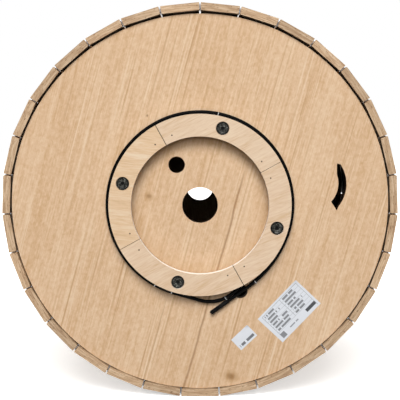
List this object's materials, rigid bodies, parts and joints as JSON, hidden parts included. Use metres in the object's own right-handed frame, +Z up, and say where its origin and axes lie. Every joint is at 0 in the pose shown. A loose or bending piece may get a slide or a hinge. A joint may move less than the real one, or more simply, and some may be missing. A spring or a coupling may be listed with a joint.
{
  "type": "wooden cable drum",
  "caption": "Wooden drum full of black cable, with plywood flanges, bolted segment rings on their faces, and slats bound round it with wire to close it.",
  "frame": {"origin": "on the floor, under the middle of the drum", "axes": "+Z up, the drum's axis along Y, its front flange towards -Y, +X to the right as seen from the front"},
  "size_m": [0.8394, 0.576, 0.8384],
  "materials": {
    "flange_plywood": "bare rotary-cut plywood",
    "ring_wood": "bare sawn softwood",
    "slat_wood": "bare sawn softwood",
    "stave_wood": "bare planed softwood",
    "bolt_steel": "black oxide, satin",
    "wire_steel": "galvanised",
    "cable_jacket": "satin black polyethylene",
    "cap_plastic": "shrunk black plastic"
  },
  "bodies": {
    "root": {"flange_front": "flange_plywood", "flange_back": "flange_plywood", "ring_segment_front_1": "ring_wood", "ring_segment_front_2": "ring_wood", "ring_segment_front_3": "ring_wood", "ring_segment_front_4": "ring_wood", "ring_segment_back_1": "ring_wood", "ring_segment_back_2": "ring_wood", "ring_segment_back_3": "ring_wood", "ring_segment_back_4": "ring_wood", "through_bolt_1": "bolt_steel", "through_bolt_2": "bolt_steel", "through_bolt_3": "bolt_steel", "through_bolt_4": "bolt_steel", "sleeve_nut_1": "bolt_steel", "sleeve_nut_2": "bolt_steel", "sleeve_nut_3": "bolt_steel", "sleeve_nut_4": "bolt_steel", "barrel_staves": "stave_wood", "cable_winding": "cable_jacket", "lagging_slat_01": "slat_wood", "lagging_slat_02": "slat_wood", "lagging_slat_03": "slat_wood", "lagging_slat_04": "slat_wood", "lagging_slat_05": "slat_wood", "lagging_slat_06": "slat_wood", "lagging_slat_07": "slat_wood", "lagging_slat_08": "slat_wood", "lagging_slat_09": "slat_wood", "lagging_slat_10": "slat_wood", "lagging_slat_11": "slat_wood", "lagging_slat_12": "slat_wood", "lagging_slat_13": "slat_wood", "lagging_slat_14": "slat_wood", "lagging_slat_15": "slat_wood", "lagging_slat_16": "slat_wood", "lagging_slat_17": "slat_wood", "lagging_slat_18": "slat_wood", "lagging_slat_19": "slat_wood", "lagging_slat_20": "slat_wood", "lagging_slat_21": "slat_wood", "lagging_slat_22": "slat_wood", "lagging_slat_23": "slat_wood", "lagging_slat_24": "slat_wood", "lagging_slat_25": "slat_wood", "lagging_slat_26": "slat_wood", "lagging_slat_27": "slat_wood", "lagging_slat_28": "slat_wood", "lagging_slat_29": "slat_wood", "lagging_slat_30": "slat_wood", "lagging_slat_31": "slat_wood", "binding_wire_front": "wire_steel", "binding_wire_back": "wire_steel", "cable_end": "cable_jacket", "cable_end_cap": "cap_plastic"}
  },
  "joints": []
}
